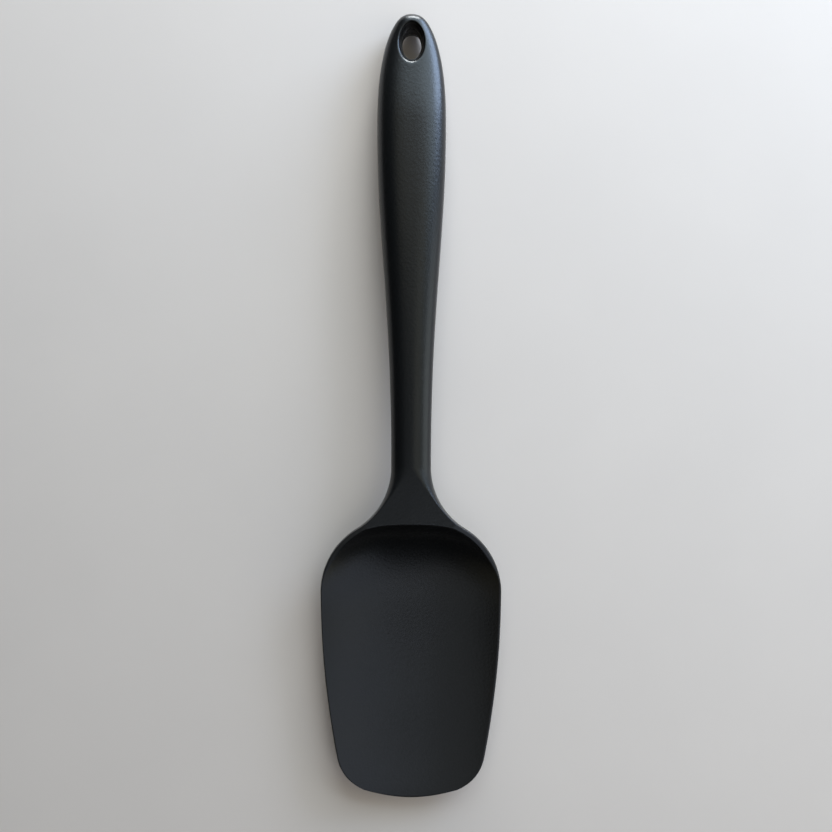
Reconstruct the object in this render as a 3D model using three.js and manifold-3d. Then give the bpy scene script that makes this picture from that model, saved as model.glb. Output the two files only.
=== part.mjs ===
// Spoon spatula: a stiff nylon core with one seamless silicone body moulded over it.
// It lies on a table with its bowl open upwards. Sizes are in millimetres and +Z is up.
// +Y points to the end with the hang hole; the origin is under the middle of the length.

import * as THREE from "three";
import { mergeVertices } from "three/addons/utils/BufferGeometryUtils.js";
import Module from "manifold-3d";

// Outline of the silicone body seen from above: tangent arcs, a neck curve and a rounded nose.
const BLADE_WIDTH = 63.6; // across the widest line of the bowl
const WIDEST_FROM_TIP = 74; // scraping edge to that widest line
const TIP_RADIUS = 43.2; // scraping edge
const CORNER_RADIUS = 16.5; // scraping edge into the sides
const SIDE_RADIUS = 304; // long sides of the bowl
const SHOULDER_RADIUS = 27.2; // outward curve of the shoulders
const NECK_FILLET_RADIUS = 24.9; // inward curve from the shoulders into the neck
const NECK_WIDTH = 13.9; // narrowest line of the neck
const GRIP_FROM_NECK = 121.6; // narrowest line of the neck to the widest line of the grip
const GRIP_WIDTH = 24.4; // widest line of the grip
const NECK_EASE = 57.9; // how far the neck runs nearly straight
const GRIP_EASE = 42; // how far the grip runs nearly straight
const NOSE_LENGTH = 39.4; // widest line of the grip to the end of the handle
const NOSE_FULLNESS = 2.23; // more than an arc's gives a blunter nose than a half ellipse

// Heights and thicknesses seen from the side.
const NECK_HEIGHT = 12.5; // axis of the neck above the table
const NECK_THICKNESS = 9.4;
const GRIP_THICKNESS = 15;
const END_THICKNESS = 12.6; // round the hang hole
const END_ROUND = 12; // length over which the end rounds off

// Bowl and the flat shoulders between its crest and the neck.
const CREST_FROM_NECK = 19.4; // crest at the end of the bowl to the narrowest line of the neck
const CREST_HEIGHT = 16.9; // top of the crest above the table
const CREST_BLEND = 4.8; // softness of the crest
const BOWL_SIDE_RADIUS = 62; // floor up to the sides
const BOWL_SIDE_FULLNESS = 2.3; // more than an arc's gives a flatter middle of the floor
const BOWL_END_RADIUS = 51; // floor up to the crest
const BOWL_END_FULLNESS = 3.05; // more than an arc's gives a flatter floor below a steeper wall
const BOWL_CORNER_EASE = 4.5; // the less, the more the end wall and the sides fill in between them
const TIP_FLOOR_HEIGHT = 5.7; // top of the scraping edge above the table
const TIP_RUN = 38; // over which the floor dips from the scraping edge to its lowest line
const EDGE_THICKNESS = 1.4; // flexible edge all round the bowl
const EDGE_FROM_NECK = 12; // where that edge starts to round over, to the narrowest line of the neck
const FOOT_WIDTH = 16; // flat underneath that the bowl stands on
const HEEL_RUN = 42.4; // over which the underside lifts from that flat to the neck

// Hang hole through the end of the handle.
const HANG_WIDTH = 6.8; // across its waist
const HANG_LENGTH = 11.2; // along its waist
const HANG_RIM_WIDTH = 9.4; // across both rims
const HANG_RIM_LENGTH = 15.8; // along both rims
const HANG_FLARE_DEPTH = 2.8; // from each rim down to the waist
const HANG_FROM_END = 11.6; // its centre to the end of the handle

// Nylon core.
const CORE_SKIN = 2.2; // silicone over the core in the handle and neck
const CORE_GAP = 0.25; // clearance between the core and the silicone
const PADDLE_THICKNESS = 1.4; // thin plate in the floor of the bowl
const PADDLE_SKIN = 1.3; // silicone above and below that plate
const LIP_WIDTH = 10; // soft lip along both sides of the plate
const TIP_LIP_WIDTH = 22; // soft lip from the plate to the scraping edge
const PADDLE_CORNER_RADIUS = 8;
const EYE_HEIGHT = 3.4; // core round the hang hole
const WINDOW_COUNT = 4; // slots in the handle that the silicone keys through
const WINDOW_WIDTH = 5;
const WINDOW_LENGTH = 12;
const WINDOW_PITCH = 19;
const WINDOW_FROM_HANG = 24; // centre of the hang hole to the nearest slot
const PERFORATION_DIAMETER = 4.4; // holes in the plate that the silicone keys through
const PERFORATION_PITCH = 11;

// Fineness of the surfaces.
const BODY_ACROSS = 20;
const CORE_ACROSS = 12;
const BODY_STEPS = { corner: 9, side: 8, shoulder: 12, fillet: 12, handle: 13, nose: 11 };
const CORE_STEPS = { corner: 4, side: 5, shoulder: 5, fillet: 6, handle: 8, nose: 7 };
const OUTLINE_REFINE = 5; // lines of the exact outline for each line of the body
const HOLE_SIDES = 32;
const KEY_SIDES = 14;
const FLARE_STEPS = 4;
const FLARE_ANGLE = THREE.MathUtils.degToRad(76); // how far each rim of the hang hole is rounded
const WALL_LIMIT = 0.85; // share of its radius that a bowl wall curves over
const WELD = 1e-4; // points closer than this are one point

const { clamp, lerp, smoothstep } = THREE.MathUtils;
const wasm = await Module();
wasm.setup();

const floorThickness = PADDLE_THICKNESS + 2 * PADDLE_SKIN;
const edgeHalf = EDGE_THICKNESS / 2;

// Height of a quarter round, from 0 at its edge to 1 where it has run its full width.
const quarterRound = (reach) => Math.sqrt(1 - (1 - clamp(reach, 0, 1)) ** 2);

// Height of a wall that starts level, curves up and goes on straight from its steepest slope.
function wallRise(run, radius, fullness) {
  const past = (reach) => 1 - reach ** fullness;
  const reach = clamp(run / radius, 0, WALL_LIMIT);
  const slope = WALL_LIMIT ** (fullness - 1) * past(WALL_LIMIT) ** (1 / fullness - 1);
  return radius * (1 - past(reach) ** (1 / fullness)) + Math.max(run - WALL_LIMIT * radius, 0) * slope;
}

// How far such a wall runs until it has come up to a height.
const wallRun = (rise, radius, fullness) =>
  radius * (1 - (1 - rise / radius) ** fullness) ** (1 / fullness);

// The lower of two heights, with a soft passage from one to the other.
function softMin(a, b, softness) {
  const overlap = Math.max(softness - Math.abs(a - b), 0);
  return Math.min(a, b) - (softness > 0 ? overlap ** 2 / (4 * softness) : 0);
}

// Outline. A point holds half a width in x and the distance from the scraping edge in y.
function circlesMeet(a, radiusA, b, radiusB) {
  const between = b.clone().sub(a);
  const distance = between.length();
  const along = (radiusA ** 2 - radiusB ** 2 + distance ** 2) / (2 * distance);
  const across = Math.sqrt(radiusA ** 2 - along ** 2);
  const unit = between.normalize();
  return new THREE.Vector2(
    a.x + unit.x * along - unit.y * across,
    a.y + unit.y * along + unit.x * across,
  );
}

const direction = (from, to) => Math.atan2(to.y - from.y, to.x - from.x);

const arc = (centre, radius, start, end, steps) =>
  new THREE.EllipseCurve(centre.x, centre.y, radius, radius, start, end, end < start).getPoints(steps);

// Blade from the end of the scraping edge to the neck, grown outwards by one amount all round.
function bladeOutline(blade, grow, steps) {
  const half = blade.half + grow;
  const shoulderRadius = blade.shoulder + grow;
  const filletRadius = blade.fillet - grow;
  const cornerRadius = blade.corner + grow;
  const tipRadius = blade.tipRadius + grow;
  const sideRadius = blade.side + grow;
  const neckHalf = blade.neckHalf + grow;
  const tipCentre = new THREE.Vector2(0, blade.tip - grow + tipRadius);
  const sideCentre = new THREE.Vector2(half - sideRadius, WIDEST_FROM_TIP);
  const cornerCentre = circlesMeet(
    tipCentre, tipRadius - cornerRadius, sideCentre, sideRadius - cornerRadius,
  );
  const shoulderCentre = new THREE.Vector2(half - shoulderRadius, WIDEST_FROM_TIP);
  const reach = shoulderRadius + filletRadius;
  const neck = WIDEST_FROM_TIP + Math.sqrt(reach ** 2 - (neckHalf + reach - half) ** 2);
  const filletCentre = new THREE.Vector2(neckHalf + filletRadius, neck);
  const tipAngle = direction(tipCentre, cornerCentre);
  const sideAngle = direction(sideCentre, cornerCentre);
  const turn = direction(shoulderCentre, filletCentre);
  return [
    ...arc(cornerCentre, cornerRadius, tipAngle, sideAngle, steps.corner),
    ...arc(sideCentre, sideRadius, sideAngle, 0, steps.side).slice(1),
    ...arc(shoulderCentre, shoulderRadius, 0, turn, steps.shoulder).slice(1),
    ...arc(filletCentre, filletRadius, turn + Math.PI, Math.PI, steps.fillet).slice(1),
  ];
}

const bodyBlade = {
  tip: 0,
  half: BLADE_WIDTH / 2,
  tipRadius: TIP_RADIUS,
  corner: CORNER_RADIUS,
  side: SIDE_RADIUS,
  shoulder: SHOULDER_RADIUS,
  fillet: NECK_FILLET_RADIUS,
  neckHalf: NECK_WIDTH / 2,
};
const coreBlade = {
  tip: TIP_LIP_WIDTH,
  half: BLADE_WIDTH / 2 - LIP_WIDTH,
  tipRadius: TIP_RADIUS - LIP_WIDTH,
  corner: PADDLE_CORNER_RADIUS,
  side: SIDE_RADIUS - LIP_WIDTH,
  shoulder: SHOULDER_RADIUS - LIP_WIDTH,
  fillet: NECK_FILLET_RADIUS + LIP_WIDTH,
  neckHalf: NECK_WIDTH / 2 - CORE_SKIN,
};

const fineSteps = Object.fromEntries(
  Object.entries(BODY_STEPS).map(([stretch, steps]) => [stretch, steps * OUTLINE_REFINE]),
);
const NECK = bladeOutline(bodyBlade, 0, fineSteps).at(-1).y;
const CREST = NECK - CREST_FROM_NECK;
const EDGE_END = NECK - EDGE_FROM_NECK;
const FOOT_END = NECK - HEEL_RUN;
const GRIP = NECK + GRIP_FROM_NECK;
const END = GRIP + NOSE_LENGTH;
const HANG = END - HANG_FROM_END;

// Handle from the neck to its end, set in from the outside of the silicone.
function handleOutline(inset, steps) {
  const neckHalf = NECK_WIDTH / 2 - inset;
  const gripHalf = GRIP_WIDTH / 2 - inset;
  const nose = NOSE_LENGTH - inset;
  const side = new THREE.CubicBezierCurve(
    new THREE.Vector2(neckHalf, NECK),
    new THREE.Vector2(neckHalf, NECK + NECK_EASE),
    new THREE.Vector2(gripHalf, GRIP - GRIP_EASE),
    new THREE.Vector2(gripHalf, GRIP),
  );
  const points = side.getPoints(steps.handle);
  for (let i = 1; i <= steps.nose; i++) {
    const angle = (i / steps.nose) * Math.PI / 2;
    const across = i < steps.nose ? Math.cos(angle) ** (2 / NOSE_FULLNESS) : 0;
    const along = Math.sin(angle) ** (2 / NOSE_FULLNESS);
    points.push(new THREE.Vector2(gripHalf * across, GRIP + nose * along));
  }
  return points;
}

const fineOutline = [
  ...bladeOutline(bodyBlade, 0, fineSteps),
  ...handleOutline(0, fineSteps).slice(1),
];

// Half width of the silicone body at a distance from the scraping edge.
function halfWidthAt(station) {
  const next = fineOutline.findIndex((point) => point.y >= station);
  if (next <= 0) {
    return fineOutline.at(next).x;
  }
  const a = fineOutline[next - 1];
  const b = fineOutline[next];
  return lerp(a.x, b.x, (station - a.y) / (b.y - a.y));
}

// Half thickness of the handle.
function halfThickness(station) {
  const grip = lerp(NECK_THICKNESS, GRIP_THICKNESS, smoothstep(station, NECK, GRIP)) / 2;
  const handle = lerp(grip, END_THICKNESS / 2, smoothstep(station, GRIP, HANG));
  const rounding = clamp((station - END + END_ROUND) / END_ROUND, 0, 1);
  return handle * Math.sqrt(1 - rounding ** 2);
}

// The handle's axis slopes down from the neck until the handle touches the table.
const handleStations = handleOutline(0, fineSteps).map((point) => point.y);
const handleDrop = Math.min(
  ...handleStations
    .filter((station) => station > (NECK + GRIP) / 2)
    .map((station) => (NECK_HEIGHT - halfThickness(station)) / (station - NECK)),
);
const axisHeight = (station) => NECK_HEIGHT - handleDrop * (station - NECK);

// Inside of the bowl, taken past its rim.
const endRun = wallRun(CREST_HEIGHT - floorThickness, BOWL_END_RADIUS, BOWL_END_FULLNESS);

function bowlHeight(x, station) {
  const floor = lerp(TIP_FLOOR_HEIGHT, floorThickness, smoothstep(station, 0, TIP_RUN));
  const side = wallRise(Math.abs(x), BOWL_SIDE_RADIUS, BOWL_SIDE_FULLNESS);
  const end = wallRise(station - CREST + endRun, BOWL_END_RADIUS, BOWL_END_FULLNESS);
  return floor + side + end + side * end / BOWL_CORNER_EASE;
}

// Shoulders: a flat top from the crest to the neck, with edges that round over wider and wider.
const shoulderTop = (station) =>
  lerp(CREST_HEIGHT, NECK_HEIGHT + NECK_THICKNESS / 2, smoothstep(station, CREST, NECK));
const shoulderRound = (station) =>
  lerp(edgeHalf, NECK_WIDTH / 2, clamp((station - EDGE_END) / (NECK - EDGE_END), 0, 1));

// Parting line round the outline, where the top and the underside meet.
function partingHeight(half, station) {
  if (station >= NECK) {
    return axisHeight(station);
  }
  return softMin(bowlHeight(half, station) - edgeHalf, axisHeight(station), CREST_BLEND);
}

// Top and underside of the silicone body in one place.
// The edge closes over the distance to the outline at the side and at the scraping edge.
function bodySection(x, station, half, sideStation, fromTip) {
  const inset = half - Math.abs(x);
  const edgeClose = quarterRound(inset / edgeHalf) * quarterRound(fromTip / edgeHalf);
  const parting = partingHeight(half, sideStation);
  const shoulder = lerp(parting, shoulderTop(station), quarterRound(inset / shoulderRound(station)));
  const bowl = bowlHeight(x, station) - edgeHalf * (1 - edgeClose);
  const crestShare = smoothstep(station, WIDEST_FROM_TIP, NECK) * quarterRound(inset / CREST_BLEND);
  const handleRise = halfThickness(station) * quarterRound(inset / half);
  const top = station < NECK ? softMin(shoulder, bowl, CREST_BLEND * crestShare) : parting + handleRise;

  const lift = smoothstep(station, FOOT_END, NECK);
  const heel = lift * (axisHeight(station) - NECK_THICKNESS / 2);
  const footShare = FOOT_WIDTH / 2 / Math.max(half, FOOT_WIDTH);
  const belly = clamp((Math.abs(x) / half - footShare) / (1 - footShare), 0, 1) ** 2;
  const bladeUnder = heel + (parting - edgeHalf - heel) * belly;
  const sheetUnder = bowlHeight(x, station) - EDGE_THICKNESS;
  const tipShare = smoothstep(fromTip, 0, TIP_RUN);
  const blade = lerp(sheetUnder, bladeUnder, tipShare) + edgeHalf * (1 - edgeClose);
  const neckDepth = (parting - heel) * quarterRound(inset / half);
  const handle = parting - (station < NECK ? neckDepth : handleRise);
  const under = lerp(blade, handle, lift);
  return { top, under };
}

// Surfaces are lofted through closed rings, one across each point of an outline.
// Near the scraping edge the rings are bowed to run along it.
function ringsAcross(outline, tip, across, section) {
  const first = outline[0];
  const bowReach = WIDEST_FROM_TIP - first.y;
  return outline.map(({ x: half, y: sideStation }) => {
    const bow = (first.y - tip) * clamp(1 - (sideStation - first.y) / bowReach, 0, 1) ** 2;
    const middle = sideStation - bow;
    const tops = [];
    const unders = [];
    for (let j = 0; j <= across; j++) {
      const share = Math.sin((j / across - 0.5) * Math.PI);
      const x = half * share;
      const station = middle + bow * share ** 2;
      const { top, under } = section(x, station, Math.max(half, WELD), sideStation, middle - tip);
      tops.push(new THREE.Vector3(x, station, top));
      unders.push(new THREE.Vector3(x, station, under));
    }
    return [...tops, ...unders.slice(1, -1).reverse()];
  });
}

function loft(rings) {
  const around = rings[0].length;
  const index = [];
  for (let i = 0; i + 1 < rings.length; i++) {
    for (let j = 0; j < around; j++) {
      const a = i * around + j;
      const b = i * around + ((j + 1) % around);
      index.push(a, b, b + around, a, b + around, a + around);
    }
  }
  const geometry = new THREE.BufferGeometry().setFromPoints(rings.flat());
  geometry.setIndex(index);
  return toSolid(geometry);
}

function toSolid(source) {
  const geometry = source.clone();
  geometry.deleteAttribute("normal");
  geometry.deleteAttribute("uv");
  const merged = mergeVertices(geometry, WELD);
  const corners = merged.index.array;
  const triangles = [];
  for (let i = 0; i < corners.length; i += 3) {
    const [a, b, c] = corners.slice(i, i + 3);
    if (a !== b && b !== c && c !== a) {
      triangles.push(a, b, c);
    }
  }
  return new wasm.Manifold(new wasm.Mesh({
    numProp: 3,
    vertProperties: new Float32Array(merged.attributes.position.array),
    triVerts: new Uint32Array(triangles),
  }));
}

function toGeometry(solid) {
  const mesh = solid.getMesh();
  const geometry = new THREE.BufferGeometry();
  geometry.setAttribute("position", new THREE.Float32BufferAttribute(mesh.vertProperties, 3));
  geometry.setIndex(new THREE.Uint32BufferAttribute(mesh.triVerts, 1));
  geometry.computeVertexNormals();
  return geometry;
}

// Hang hole in the silicone: an oval waist that flares to a rounded rim on both faces.
const handleTop = (x, station) => {
  const half = Math.max(halfWidthAt(station), 1);
  return halfThickness(station) * quarterRound((half - Math.abs(x)) / half);
};

function hangRing(share, drop, face) {
  const width = lerp(HANG_WIDTH, HANG_RIM_WIDTH, share);
  const length = lerp(HANG_LENGTH, HANG_RIM_LENGTH, share);
  const ring = [];
  for (let i = 0; i < HOLE_SIDES; i++) {
    const angle = (i / HOLE_SIDES) * 2 * Math.PI;
    const x = (width / 2) * Math.cos(angle);
    const station = HANG + (length / 2) * Math.sin(angle);
    const height = axisHeight(station) + face * (handleTop(x, station) - drop);
    ring.push(new THREE.Vector3(x, station, height));
  }
  return ring;
}

function hangCutter() {
  const levels = [];
  for (let i = 0; i <= FLARE_STEPS; i++) {
    const angle = (i / FLARE_STEPS) * FLARE_ANGLE;
    levels.push({ share: 1 - Math.cos(angle), drop: HANG_FLARE_DEPTH * (1 - Math.sin(angle)) });
  }
  const { share, drop } = levels.at(-1);
  const onwards = Math.sin(FLARE_ANGLE) / 2;
  const rise = HANG_FLARE_DEPTH * Math.cos(FLARE_ANGLE) / 2;
  levels.push({ share: share + onwards, drop: drop - rise });
  const above = END_THICKNESS / 2;
  const upper = levels.map((level) => hangRing(level.share, level.drop, 1));
  const lower = levels.map((level) => hangRing(level.share, level.drop, -1)).reverse();
  const topRing = upper.at(-1).map((point) => point.clone().setZ(point.z + above));
  const bottomRing = lower[0].map((point) => point.clone().setZ(point.z - above));
  const middle = (ring) => ring.map(() => new THREE.Vector3(0, HANG, ring[0].z));
  return loft([middle(bottomRing), bottomRing, ...lower, ...upper, topRing, middle(topRing)]);
}

// Upright prism through the whole thickness, for slots and holes in the core.
function uprightPrism(shape, x, station, sides) {
  const past = NECK_THICKNESS;
  const depth = NECK_HEIGHT + GRIP_THICKNESS + 2 * past;
  const prism = new THREE.ExtrudeGeometry(shape, {
    depth, bevelEnabled: false, curveSegments: sides,
  });
  return toSolid(prism.translate(x, station, -past));
}

function slotShape(width, length) {
  const straight = (length - width) / 2;
  const shape = new THREE.Shape();
  shape.absarc(0, straight, width / 2, 0, Math.PI, false);
  shape.absarc(0, -straight, width / 2, Math.PI, 2 * Math.PI, false);
  return shape;
}

function ovalShape(width, length) {
  const shape = new THREE.Shape();
  shape.absellipse(0, 0, width / 2, length / 2, 0, 2 * Math.PI, false, 0);
  return shape;
}

// Places of the round holes in the core's plate, in staggered rows clear of the plate's edge.
function perforations() {
  const places = [];
  const clear = PERFORATION_DIAMETER;
  const plate = bladeOutline(coreBlade, -clear, CORE_STEPS);
  const start = TIP_LIP_WIDTH + 2 * clear;
  const rows = Math.floor((WIDEST_FROM_TIP - start) / PERFORATION_PITCH);
  const limit = Math.min(...plate.filter((point) => point.y < WIDEST_FROM_TIP).map((point) => point.x));
  for (let row = 0; row <= rows; row++) {
    const shift = row % 2 ? PERFORATION_PITCH / 2 : 0;
    const count = Math.floor((limit - shift) / PERFORATION_PITCH);
    for (let i = -count - (row % 2); i <= count; i++) {
      places.push(new THREE.Vector2(i * PERFORATION_PITCH + shift, start + row * PERFORATION_PITCH));
    }
  }
  return places;
}

// Core: an oval bar through handle and neck that flattens to a plate in the floor of the bowl.
function coreHalfThickness(station) {
  const bar = halfThickness(Math.max(station, NECK)) - CORE_SKIN;
  const eye = Math.min(bar, EYE_HEIGHT / 2);
  const toEye = smoothstep(station, HANG - HANG_LENGTH - EYE_HEIGHT, HANG - HANG_LENGTH / 2);
  const toBar = smoothstep(station, FOOT_END, NECK);
  return lerp(lerp(PADDLE_THICKNESS / 2, bar, toBar), eye, toEye);
}

function coreSolid(grow) {
  const outline = [
    ...bladeOutline(coreBlade, grow, CORE_STEPS),
    ...handleOutline(CORE_SKIN - grow, CORE_STEPS),
  ];
  const section = (x, station, half, sideStation, fromTip) => {
    const local = bodySection(x, station, halfWidthAt(station), station, station);
    const middle = (local.top + local.under) / 2;
    const thickness = Math.max(coreHalfThickness(station), 0) + grow;
    const round = lerp(PADDLE_THICKNESS / 2, half, smoothstep(station, FOOT_END, NECK));
    const inset = half - Math.abs(x);
    const close = quarterRound(inset / round) * quarterRound(fromTip / (PADDLE_THICKNESS / 2));
    return { top: middle + thickness * close, under: middle - thickness * close };
  };
  let core = loft(ringsAcross(outline, TIP_LIP_WIDTH - grow, CORE_ACROSS, section));
  const eye = ovalShape(HANG_WIDTH - 2 * grow, HANG_LENGTH - 2 * grow);
  core = core.subtract(uprightPrism(eye, 0, HANG, HOLE_SIDES / 2));
  const slot = slotShape(WINDOW_WIDTH - 2 * grow, WINDOW_LENGTH - 2 * grow);
  for (let i = 0; i < WINDOW_COUNT; i++) {
    const station = HANG - WINDOW_FROM_HANG - i * WINDOW_PITCH;
    core = core.subtract(uprightPrism(slot, 0, station, KEY_SIDES / 2));
  }
  const hole = ovalShape(PERFORATION_DIAMETER - 2 * grow, PERFORATION_DIAMETER - 2 * grow);
  for (const place of perforations()) {
    core = core.subtract(uprightPrism(hole, place.x, place.y, KEY_SIDES / 2));
  }
  return core;
}

// Silicone body: the outer form less the hang hole and the room for the core.
const bodyOutline = [
  ...bladeOutline(bodyBlade, 0, BODY_STEPS),
  ...handleOutline(0, BODY_STEPS).slice(1),
];
const outerForm = loft(ringsAcross(bodyOutline, 0, BODY_ACROSS, bodySection));
const silicone = outerForm.subtract(hangCutter()).subtract(coreSolid(CORE_GAP));

const siliconeBody = new THREE.Mesh(
  toGeometry(silicone),
  new THREE.MeshStandardMaterial({ color: 0x26282b, roughness: 0.55, metalness: 0 }),
);
siliconeBody.name = "silicone_body";

const nylonCore = new THREE.Mesh(
  toGeometry(coreSolid(0)),
  new THREE.MeshStandardMaterial({ color: 0x1b1b1c, roughness: 0.6, metalness: 0 }),
);
nylonCore.name = "nylon_core";

const utensil = new THREE.Group();
utensil.name = "utensil";
utensil.position.y = -END / 2;
utensil.add(siliconeBody, nylonCore);

const spoonSpatula = new THREE.Group();
spoonSpatula.name = "spoon_spatula";
spoonSpatula.add(utensil);

export default spoonSpatula;
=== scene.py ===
import math

import bmesh
import bpy
import numpy as np
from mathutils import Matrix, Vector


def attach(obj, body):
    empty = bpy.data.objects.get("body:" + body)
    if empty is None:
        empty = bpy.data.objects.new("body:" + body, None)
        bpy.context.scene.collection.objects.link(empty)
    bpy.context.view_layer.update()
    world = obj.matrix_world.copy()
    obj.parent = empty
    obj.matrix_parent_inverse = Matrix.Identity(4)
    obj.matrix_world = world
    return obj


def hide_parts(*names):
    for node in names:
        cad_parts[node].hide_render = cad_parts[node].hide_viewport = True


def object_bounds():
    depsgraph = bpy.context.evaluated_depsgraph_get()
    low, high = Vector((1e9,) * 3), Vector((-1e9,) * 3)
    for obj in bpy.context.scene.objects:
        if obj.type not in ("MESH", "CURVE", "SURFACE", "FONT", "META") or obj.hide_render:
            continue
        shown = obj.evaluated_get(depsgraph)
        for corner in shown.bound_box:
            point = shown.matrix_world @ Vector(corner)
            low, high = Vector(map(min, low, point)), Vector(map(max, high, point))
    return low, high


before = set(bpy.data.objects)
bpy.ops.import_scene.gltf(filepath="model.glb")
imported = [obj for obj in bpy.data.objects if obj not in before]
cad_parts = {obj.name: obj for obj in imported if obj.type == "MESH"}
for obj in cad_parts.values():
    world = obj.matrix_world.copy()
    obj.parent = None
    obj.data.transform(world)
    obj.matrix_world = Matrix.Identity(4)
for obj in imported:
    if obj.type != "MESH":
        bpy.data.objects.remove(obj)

cad_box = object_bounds()


# Nylon core
# The stiff bone inside the utensil, injection moulded in black glass-filled nylon.
# It goes into the mould first and lies hidden in the silicone. Only its eye shows,
# as a narrow band in the wall of the hang hole.

class Finish:
    """One value in a material. Sums and products of values add the nodes that work them out."""

    def __init__(self, tree, socket=None):
        self.tree = tree
        self.socket = socket

    def node(self, kind, settings, values, output=0):
        made = self.tree.nodes.new(kind)
        for name, setting in settings.items():
            setattr(made, name, setting)
        for name, value in values.items():
            if isinstance(value, Finish):
                self.tree.links.new(value.socket, made.inputs[name])
            else:
                made.inputs[name].default_value = value
        return Finish(self.tree, made.outputs[output] if made.outputs else None)

    def maths(self, operation, *values):
        return self.node("ShaderNodeMath", {"operation": operation}, dict(enumerate(values)))

    # On a Mix node, colours are the inputs 6 and 7 and the output 2.
    def blend(self, low, high):
        colours = {0: self, 6: (*low, 1), 7: (*high, 1)}
        return self.node("ShaderNodeMix", {"data_type": "RGBA"}, colours, output=2)

    def __add__(self, other):
        return self.maths("ADD", self, other)

    def __mul__(self, other):
        return self.maths("MULTIPLY", self, other)

    __radd__ = __add__
    __rmul__ = __mul__


def new_finish(name):
    material = bpy.data.materials.new(name)
    material.use_nodes = True
    material.node_tree.nodes.clear()
    return material, Finish(material.node_tree)


def grain(finish, size, detail):
    place = finish.node("ShaderNodeTexCoord", {}, {}, output="Object")
    values = {"Vector": place, "Scale": 1 / size, "Detail": detail}
    return finish.node("ShaderNodeTexNoise", {}, values)


def bumps(finish, height, strength, depth):
    return finish.node("ShaderNodeBump", {}, {"Height": height, "Strength": strength, "Distance": depth})


def show(finish, values):
    surface = finish.node("ShaderNodeBsdfPrincipled", {}, values)
    finish.node("ShaderNodeOutputMaterial", {}, {"Surface": surface})


FIBRE_SIZE = 0.0006
FLOW_SIZE = 0.012
FIBRE_DEPTH = 0.00003
nylon, dull = new_finish("black_nylon")
fibres = grain(dull, FIBRE_SIZE, detail=3.0)
flow = grain(dull, FLOW_SIZE, detail=2.0)
show(dull, {
    "Base Color": (fibres * flow).blend((0.010, 0.010, 0.010), (0.030, 0.030, 0.031)),
    "Roughness": 0.50 + 0.16 * fibres,
    "IOR": 1.53,
    "Normal": bumps(dull, fibres, 0.4, FIBRE_DEPTH),
})
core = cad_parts["nylon_core"]
core.data.materials.clear()
core.data.materials.append(nylon)


# Silicone body
# One seamless skin of soft heat-proof silicone, dyed black, moulded over the core in a two-part mould.
# It makes the bowl with its flexible lip, the rounded shoulders, the oval handle and the hang hole.
# Sizes are in millimetres; a station is a distance from the scraping edge along the utensil.

# Outline, seen from above.
BLADE_WIDTH = 63.6
WIDEST = 74
TIP_RADIUS = 43.2
CORNER_RADIUS = 16.5
SIDE_RADIUS = 304
SHOULDER_RADIUS = 27.2
FILLET_RADIUS = 24.9
NECK_WIDTH = 13.9
GRIP_FROM_NECK = 121.6
GRIP_WIDTH = 24.4
NECK_EASE = 57.9
GRIP_EASE = 42
NOSE_LENGTH = 38.7
NOSE_FULLNESS = 2.28

# Handle, seen from the side and in section.
NECK_HEIGHT = 12.5
NECK_THICKNESS = 9.4
GRIP_THICKNESS = 15
END_THICKNESS = 12.6
END_ROUND = 4.2
NECK_FULLNESS = 2
GRIP_FULLNESS = 2.4

# Bowl, its crest towards the neck, its lip and the belly under it.
CREST_FROM_NECK = 19.7
CREST_HEIGHT = 16.9
CREST_BLEND = 0.9
RIM_BLEND = 4.8
LIP_WIDTH = 1.8
LIP_BLEND = 1
LIP_FADE = 16
BOWL_SIDE_RADIUS = 62
BOWL_SIDE_FULLNESS = 2.3
BOWL_END_RADIUS = 44
BOWL_END_FULLNESS = 3.3
BOWL_CORNER_EASE = 5
BOWL_CORNER_START = 1
FLOOR_THICKNESS = 4.0
TIP_FLOOR_HEIGHT = 5.7
TIP_RUN = 38
EDGE_THICKNESS = 1.4
EDGE_FROM_NECK = 18
FOOT_WIDTH = 16
HEEL_RUN = 42.4
WALL_LIMIT = 0.9

# Hang hole, with a rounded mouth and a narrower waist.
HANG_WIDTH = 6.8
HANG_LENGTH = 11.2
HANG_RIM_WIDTH = 10.2
HANG_RIM_LENGTH = 15.8
HANG_RIM_SHIFT = 1.0
HANG_ROUND_DEPTH = 1.3
HANG_THROAT = 0.53
HANG_FROM_END = 10.9
HANG_MARGIN = 6

# Step at the parting line of the mould.
SEAM = 0.06
SEAM_FADE = 12

TINY = 1e-9
edge_half = EDGE_THICKNESS / 2


def ease(value, low, high):
    share = np.clip((value - low) / (high - low), 0, 1)
    return share * share * (3 - 2 * share)


def between(low, high, share):
    return low + (high - low) * share


def quarter_round(reach):
    return np.sqrt(1 - (1 - np.clip(reach, 0, 1)) ** 2)


def wall_rise(run, radius, fullness):
    reach = np.clip(run / radius, 0, WALL_LIMIT)
    slope = WALL_LIMIT ** (fullness - 1) * (1 - WALL_LIMIT**fullness) ** (1 / fullness - 1)
    curve = radius * (1 - (1 - reach**fullness) ** (1 / fullness))
    return curve + np.maximum(run - WALL_LIMIT * radius, 0) * slope


def oval(reach, fullness):
    return np.clip(1 - np.clip(reach, 0, 1) ** fullness, 0, 1) ** (1 / fullness)


def lower_of(a, b, softness):
    overlap = np.maximum(softness - np.abs(a - b), 0)
    return np.minimum(a, b) - overlap**2 / (4 * np.maximum(softness, TINY))


def arc(centre, radius, start, end, shares):
    angle = start + (end - start) * shares
    return np.column_stack((centre[0] + radius * np.cos(angle), centre[1] + radius * np.sin(angle)))


def direction(start, end):
    return math.atan2(end[1] - start[1], end[0] - start[0])


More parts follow.
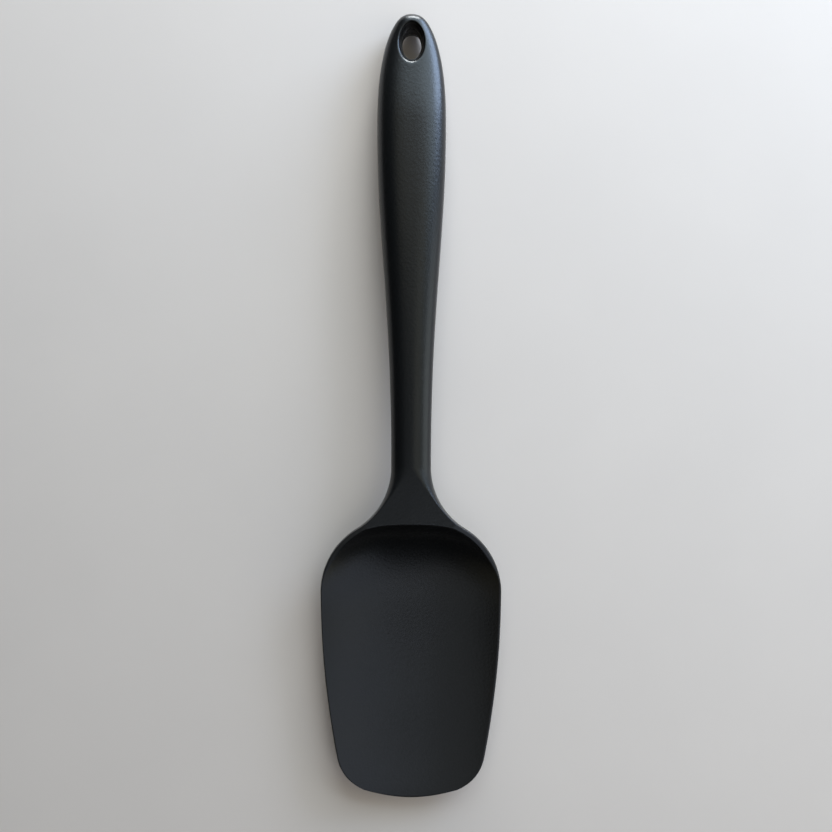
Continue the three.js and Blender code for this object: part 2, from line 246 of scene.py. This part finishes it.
def corner_centre(tip, tip_reach, side, side_reach):
    apart = side - tip
    distance = np.linalg.norm(apart)
    along = (tip_reach**2 - side_reach**2 + distance**2) / (2 * distance)
    across = math.sqrt(tip_reach**2 - along**2)
    unit = apart / distance
    return tip + unit * along + np.array((-unit[1], unit[0])) * across


# Outline: half widths and stations from the scraping edge to the last ring before the hang hole.
CORNER_STEPS = 48
SIDE_STEPS = 64
SHOULDER_STEPS = 110
FILLET_STEPS = 90
HANDLE_STEPS = 130
NOSE_START_STEPS = 14
blade_half = BLADE_WIDTH / 2
neck_half = NECK_WIDTH / 2
grip_half = GRIP_WIDTH / 2
tip_centre = np.array((0, TIP_RADIUS))
side_centre = np.array((blade_half - SIDE_RADIUS, WIDEST))
tip_reach = TIP_RADIUS - CORNER_RADIUS
corner = corner_centre(tip_centre, tip_reach, side_centre, SIDE_RADIUS - CORNER_RADIUS)
shoulder_centre = np.array((blade_half - SHOULDER_RADIUS, WIDEST))
apart = SHOULDER_RADIUS + FILLET_RADIUS
NECK = WIDEST + math.sqrt(apart**2 - (neck_half + apart - blade_half) ** 2)
fillet_centre = np.array((neck_half + FILLET_RADIUS, NECK))
tip_angle = direction(tip_centre, corner)
side_angle = direction(side_centre, corner)
turn = direction(shoulder_centre, fillet_centre)
CREST = NECK - CREST_FROM_NECK
EDGE_END = NECK - EDGE_FROM_NECK
FOOT_END = NECK - HEEL_RUN
GRIP = NECK + GRIP_FROM_NECK
END = GRIP + NOSE_LENGTH
HANG = END - HANG_FROM_END
PATCH = HANG - HANG_RIM_SHIFT - HANG_RIM_LENGTH / 2 - HANG_MARGIN


def steps(count):
    return np.arange(1, count + 1) / count


def nose_half(station):
    share = np.clip((station - GRIP) / NOSE_LENGTH, 0, 1)
    return grip_half * (1 - share**NOSE_FULLNESS) ** (1 / NOSE_FULLNESS)


ease_in = np.array((neck_half, neck_half, grip_half, grip_half))
run_in = np.array((NECK, NECK + NECK_EASE, GRIP - GRIP_EASE, GRIP))
t = steps(HANDLE_STEPS)
bezier = np.column_stack(((1 - t) ** 3, 3 * t * (1 - t) ** 2, 3 * t**2 * (1 - t), t**3))
nose_start = GRIP + (PATCH - GRIP) * steps(NOSE_START_STEPS)
outline = np.vstack((
    arc(corner, CORNER_RADIUS, tip_angle, side_angle, np.insert(steps(CORNER_STEPS), 0, 0) ** 2),
    arc(side_centre, SIDE_RADIUS, side_angle, 0, steps(SIDE_STEPS)),
    arc(shoulder_centre, SHOULDER_RADIUS, 0, turn, steps(SHOULDER_STEPS)),
    arc(fillet_centre, FILLET_RADIUS, turn + math.pi, math.pi, steps(FILLET_STEPS)),
    np.column_stack((bezier @ ease_in, bezier @ run_in)),
    np.column_stack((nose_half(nose_start), nose_start)),
))


# Heights of the body, as one smooth form from the scraping edge to the end of the handle.
def half_thickness(station):
    grip = between(NECK_THICKNESS, GRIP_THICKNESS, ease(station, NECK, GRIP)) / 2
    handle = between(grip, END_THICKNESS / 2, ease(station, GRIP, HANG))
    rounding = np.clip((station - END + END_ROUND) / END_ROUND, 0, 1)
    return handle * np.sqrt(1 - rounding**2)


def section_fullness(station):
    return between(NECK_FULLNESS, GRIP_FULLNESS, ease(station, NECK, GRIP))


# The handle falls in a straight line until its thickest stretch lies on the table.
LYING_STEPS = 400
handle_run = np.linspace((NECK + GRIP) / 2, END, LYING_STEPS)
handle_drop = ((NECK_HEIGHT - half_thickness(handle_run)) / (handle_run - NECK)).min()


def axis_height(station):
    return NECK_HEIGHT - handle_drop * (station - NECK)


wall_left = 1 - (CREST_HEIGHT - FLOOR_THICKNESS) / BOWL_END_RADIUS
end_run = BOWL_END_RADIUS * (1 - wall_left**BOWL_END_FULLNESS) ** (1 / BOWL_END_FULLNESS)


def bowl_height(x, station):
    floor = between(TIP_FLOOR_HEIGHT, FLOOR_THICKNESS, ease(station, 0, TIP_RUN))
    side = wall_rise(np.abs(x), BOWL_SIDE_RADIUS, BOWL_SIDE_FULLNESS)
    end = wall_rise(station - CREST + end_run, BOWL_END_RADIUS, BOWL_END_FULLNESS)
    corner_rise = side**2 / (side + BOWL_CORNER_START)
    return floor + side + end + corner_rise * end / BOWL_CORNER_EASE


def shoulder_top(station):
    return between(CREST_HEIGHT, NECK_HEIGHT + NECK_THICKNESS / 2, ease(station, CREST, NECK))


def shoulder_round(station):
    share = np.clip((station - EDGE_END) / (NECK - EDGE_END), 0, 1)
    return between(edge_half, neck_half, share**2)


# A flat lip runs along the rim of the shoulders: the bowl starts a lip's width inside the outline.
edge_run = np.gradient(outline, axis=0)
edge_run = edge_run / np.linalg.norm(edge_run, axis=1, keepdims=True)
outward = np.column_stack((edge_run[:, 1], -edge_run[:, 0]))
lip_line = outline - outward * LIP_WIDTH * ease(outline[:, 1:], WIDEST, WIDEST + LIP_FADE)
lip_rise = bowl_height(lip_line[:, 0], lip_line[:, 1])
lean = np.maximum(outward[:, :1] * outward[:, 1:], 0)


def lip_height(station):
    return lower_of(np.interp(station, outline[:, 1], lip_rise), shoulder_top(station), LIP_BLEND)


def parting_height(station):
    rim = lower_of(lip_height(station) - edge_half, axis_height(station), RIM_BLEND)
    return np.where(station >= NECK, axis_height(station), rim)


def body_heights(x, station, half, side_station, from_tip):
    inset = half - np.abs(x)
    edge_close = quarter_round(inset / edge_half) * quarter_round(from_tip / edge_half)
    parting = parting_height(side_station)
    lip = lip_height(side_station + inset * lean)
    shoulder = between(parting, lip, quarter_round(inset / shoulder_round(station)))
    bowl = bowl_height(x, station) - edge_half * (1 - edge_close)
    crest_share = ease(station, WIDEST, NECK) * quarter_round(inset / CREST_BLEND)
    rise = half_thickness(station) * oval(np.abs(x) / half, section_fullness(station))
    top = np.where(station < NECK, lower_of(shoulder, bowl, CREST_BLEND * crest_share), parting + rise)

    lift = ease(station, FOOT_END, NECK)
    heel = lift * (axis_height(station) - NECK_THICKNESS / 2)
    foot_share = FOOT_WIDTH / 2 / np.maximum(half, FOOT_WIDTH)
    belly = np.clip((np.abs(x) / half - foot_share) / (1 - foot_share), 0, 1) ** 2
    blade_under = heel + (parting - edge_half - heel) * belly
    sheet_under = bowl_height(x, station) - EDGE_THICKNESS
    blade = between(sheet_under, blade_under, ease(from_tip, 0, TIP_RUN)) + edge_half * (1 - edge_close)
    neck_depth = (parting - heel) * quarter_round(inset / half)
    handle = parting - np.where(station < NECK, neck_depth, rise)
    return top, between(blade, handle, lift)


# Rings across the body. Near the scraping edge they bow to run along it.
ACROSS = 104
spread = np.sin((np.arange(ACROSS + 1) / ACROSS - 0.5) * math.pi)[None, :]
side_station = outline[:, 1:]
first = outline[0, 1]
bow = first * np.clip(1 - (side_station - first) / (WIDEST - first), 0, 1) ** 2
seam = SEAM * ease(side_station, first, first + SEAM_FADE)
half = outline[:, :1] - seam
station = side_station - bow + bow * spread**2
x = half * spread
top, under = body_heights(x, station, half, side_station, side_station - bow)
x = x + seam * np.sign(spread) * (np.abs(spread) == 1)
rings_top = np.dstack((x, station, top))
rings_under = np.dstack((x, station, under))
rings_under[:, (0, -1)] = rings_top[:, (0, -1)]


# End of the handle. Lines fan out from the hang hole to the last ring and to the rounded end.
RIM_STEPS = 12
FAN_STEPS = 34
NOSE_STEPS = 60
FAN_EVENNESS = 0.4
nose_angle = math.asin(((PATCH - GRIP) / NOSE_LENGTH) ** (NOSE_FULLNESS / 2))
nose_angle = nose_angle + (math.pi / 2 - nose_angle) * steps(NOSE_STEPS)
nose_right = np.column_stack((
    grip_half * np.maximum(np.cos(nose_angle), 0) ** (2 / NOSE_FULLNESS),
    GRIP + NOSE_LENGTH * np.sin(nose_angle) ** (2 / NOSE_FULLNESS),
))
nose_right[-1] = (0, END)
nose_left = nose_right[-2::-1] * (-1, 1)
loop = np.vstack((rings_top[-1, :, :2], nose_right, nose_left))
on_outline = np.arange(len(loop)) >= ACROSS
on_outline[0] = True
seam_pull = np.column_stack((SEAM * np.sign(loop[:, 0]), SEAM * (loop[:, 1] == END)))
inner_loop = loop - seam_pull * on_outline[:, None]
away = loop - (0, HANG)
fanned = np.unwrap(np.arctan2(away[:, 1] / HANG_LENGTH, away[:, 0] / HANG_WIDTH))
evenly = fanned[0] + np.arange(len(loop)) / len(loop) * 2 * math.pi
hole_angle = between(fanned, evenly, FAN_EVENNESS)


def hole_loop(flare):
    wide = between(HANG_WIDTH, HANG_RIM_WIDTH, flare) / 2 * np.cos(hole_angle)
    long = between(HANG_LENGTH, HANG_RIM_LENGTH, flare) / 2 * np.sin(hole_angle)
    return np.column_stack((wide, HANG - HANG_RIM_SHIFT * flare + long))


def handle_rise(plan):
    width = np.maximum(nose_half(plan[:, 1]) - SEAM, TINY)
    return half_thickness(plan[:, 1]) * oval(np.abs(plan[:, 0]) / width, section_fullness(plan[:, 1]))


fan = []
for angle in np.arange(RIM_STEPS + 1) / RIM_STEPS * math.pi / 2:
    plan = hole_loop(between(HANG_THROAT, 1, 1 - math.cos(angle)))
    fan.append((plan, handle_rise(plan) - HANG_ROUND_DEPTH * (1 - math.sin(angle))))
rim_edge = fan[-1][0]
for share in np.sin(steps(FAN_STEPS) * math.pi / 2):
    plan = rim_edge + (inner_loop - rim_edge) * share
    fan.append((plan, handle_rise(plan)))
ring_rise = rings_top[-1, :, 2] - axis_height(PATCH)
fan[-1] = (loop, np.append(ring_rise, np.zeros(len(loop) - ACROSS - 1)))


def fan_face(side):
    rows = [np.column_stack((plan, axis_height(plan[:, 1]) + side * rise)) for plan, rise in fan]
    return np.stack([np.vstack((row, row[:1])) for row in rows])


fan_top = fan_face(1)
fan_under = fan_face(-1)
WALL_STEPS = 16
wall = np.linspace(fan_top[0], fan_under[0], WALL_STEPS + 1)
for row, share in zip(wall[1:-1], np.linspace(-1, 1, WALL_STEPS + 1)[1:-1]):
    narrowed = hole_loop(HANG_THROAT * share**2)
    row[:, :2] = np.vstack((narrowed, narrowed[:1]))


def sheets_to_mesh(name, sheets, weld):
    points = np.vstack([sheet.reshape(-1, 3) for sheet in sheets])
    faces = []
    start = 0
    for sheet in sheets:
        rows, columns = sheet.shape[:2]
        index = start + np.arange(rows * columns).reshape(rows, columns)
        corners = (index[:-1, :-1], index[:-1, 1:], index[1:, 1:], index[1:, :-1])
        faces.append(np.stack(corners, axis=-1).reshape(-1, 4))
        start += rows * columns
    mesh = bpy.data.meshes.new(name)
    mesh.from_pydata(points, [], np.vstack(faces).tolist())
    shape = bmesh.new()
    shape.from_mesh(mesh)
    bmesh.ops.remove_doubles(shape, verts=shape.verts, dist=weld)
    bmesh.ops.recalc_face_normals(shape, faces=shape.faces)
    shape.to_mesh(mesh)
    shape.free()
    return mesh


METRES = 0.001
WELD = 5e-7
mid = np.array((0, -cad_box[0][1] / METRES, 0))
sheets = [(sheet - mid) * METRES for sheet in (rings_top, rings_under, fan_top, fan_under, wall)]
outer = sheets_to_mesh("silicone_skin", sheets, WELD)
body = bpy.data.objects.new("silicone_skin", outer)
bpy.context.collection.objects.link(body)


# Room for the core inside the skin: the core's own form, swollen by a thin clearance.
CORE_GAP = 0.00025
CORE_WELD = 1e-6
SHARPEST_CORNER = 1.6
CREASE = math.radians(38)
room_mesh = core.data.copy()
room_shape = bmesh.new()
room_shape.from_mesh(room_mesh)
bmesh.ops.remove_doubles(room_shape, verts=room_shape.verts, dist=CORE_WELD)
bmesh.ops.recalc_face_normals(room_shape, faces=room_shape.faces)
room_shape.normal_update()
swollen = []
for vert in room_shape.verts:
    swollen.append(vert.co + vert.normal * CORE_GAP * min(vert.calc_shell_factor(), SHARPEST_CORNER))
for vert, point in zip(room_shape.verts, swollen):
    vert.co = point
room_shape.to_mesh(room_mesh)
room_shape.free()
room_mesh.materials.clear()
room = bpy.data.objects.new("core_room", room_mesh)
bpy.context.collection.objects.link(room)
cut = body.modifiers.new("core_room", "BOOLEAN")
cut.operation = "DIFFERENCE"
cut.solver = "MANIFOLD"
cut.object = room
bpy.context.view_layer.update()
cut_body = body.evaluated_get(bpy.context.evaluated_depsgraph_get())
hollow = bpy.data.meshes.new_from_object(cut_body)
body.modifiers.clear()
body.data = hollow
hollow.name = "silicone_skin"
bpy.data.objects.remove(room)
bpy.data.meshes.remove(room_mesh)
bpy.data.meshes.remove(outer)
hollow.shade_smooth()
hollow.set_sharp_from_angle(angle=CREASE)

FINE_SIZE = 0.0009
CLOUD_SIZE = 0.02
FINE_DEPTH = 0.00005
silicone, soft = new_finish("black_silicone")
fine = grain(soft, FINE_SIZE, detail=3.0)
cloud = grain(soft, CLOUD_SIZE, detail=3.0)
show(soft, {
    "Base Color": cloud.blend((0.0036, 0.0038, 0.0042), (0.0050, 0.0053, 0.0058)),
    "Roughness": 0.26 + 0.12 * fine,
    "IOR": 1.41,
    "Normal": bumps(soft, fine, 1.0, FINE_DEPTH),
})
hollow.materials.clear()
hollow.materials.append(silicone)
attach(body, "root")
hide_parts("silicone_body")


# Studio
# A plain pale table top with soft lights round it, most of the light from the window side.
# The camera looks straight down on the utensil. Sizes are in metres.

FLOOR_REACH = 0.85
MOTTLE_SIZE = 0.05
floor_mesh = bpy.data.meshes.new("floor")
corners = [(x * FLOOR_REACH, y * FLOOR_REACH, 0) for x, y in ((-1, -1), (1, -1), (1, 1), (-1, 1))]
floor_mesh.from_pydata(corners, [], [(0, 1, 2, 3)])
floor = bpy.data.objects.new("floor", floor_mesh)
bpy.context.collection.objects.link(floor)
pale, table_top = new_finish("pale_table")
mottle = grain(table_top, MOTTLE_SIZE, detail=4.0)
show(table_top, {
    "Base Color": mottle.blend((0.60, 0.525, 0.475), (0.64, 0.56, 0.505)),
    "Roughness": 0.9,
})
floor_mesh.materials.append(pale)

BACKDROP_BRIGHTNESS = 0.72
world = bpy.data.worlds.new("studio")
bpy.context.scene.world = world
world.use_nodes = True
backdrop = world.node_tree.nodes["Background"].inputs
backdrop["Color"].default_value = (0.97, 0.98, 1.0, 1)
in_view = Finish(world.node_tree).node("ShaderNodeLightPath", {}, {}, output="Is Camera Ray")
world.node_tree.links.new((BACKDROP_BRIGHTNESS * in_view).socket, backdrop["Strength"])


# Lamps, each by its bearing and height in degrees from the middle of the utensil, its size, its colour
# and its brightness.
LAMP_REACH = 0.8


def softbox(name, bearing, height, size, colour, brightness):
    lamp = bpy.data.lights.new(name, "AREA")
    lamp.shape = "RECTANGLE"
    lamp.size, lamp.size_y = size
    lamp.color = colour
    lamp.energy = brightness * math.pi * size[0] * size[1]
    box = bpy.data.objects.new(name, lamp)
    flat = LAMP_REACH * math.cos(math.radians(height))
    across = flat * math.cos(math.radians(bearing))
    along = flat * math.sin(math.radians(bearing))
    box.location = (across, along, LAMP_REACH * math.sin(math.radians(height)))
    box.rotation_euler = (-box.location).to_track_quat("-Z", "Y").to_euler()
    box.visible_camera = False
    bpy.context.collection.objects.link(box)


softbox("window", 45, 12, (0.42, 0.42), (0.54, 0.71, 1.0), 15.5)
softbox("window_back", 84, 7, (0.4, 0.16), (0.92, 0.97, 1.0), 45.0)
softbox("back", 68, 38, (0.95, 0.42), (0.70, 0.87, 1.0), 4.5)
softbox("right", 0, 20, (0.42, 0.55), (0.92, 1.0, 0.98), 2.0)
softbox("front_right_low", 325, 14, (0.6, 0.3), (1.0, 0.96, 0.7), 1.0)
softbox("front_right", 308, 50, (0.5, 0.75), (0.76, 0.84, 1.0), 1.15)
softbox("front", 240, 62, (0.5, 0.45), (0.92, 0.97, 1.0), 0.62)
softbox("front_left", 222, 30, (0.42, 0.42), (1.0, 0.9, 0.6), 0.26)
softbox("back_high", 85, 64, (0.8, 0.4), (1.0, 0.95, 0.75), 0.64)
softbox("right_high", 0, 62, (0.45, 0.5), (1.0, 0.92, 0.55), 0.46)

CAMERA_PLACE = (0.0017, -0.00339, 0.3269)
CAMERA_ROLL = 0.0016
LENS_MM = 38.94
SENSOR_MM = 36
NEAREST = 0.01
camera = bpy.data.cameras.new("camera")
camera.sensor_width = SENSOR_MM
camera.lens = LENS_MM
camera.clip_start = NEAREST
eye = bpy.data.objects.new("camera", camera)
eye.location = CAMERA_PLACE
eye.rotation_euler = (0, 0, CAMERA_ROLL)
bpy.context.collection.objects.link(eye)
bpy.context.scene.camera = eye
bpy.context.scene.view_settings.view_transform = "Standard"
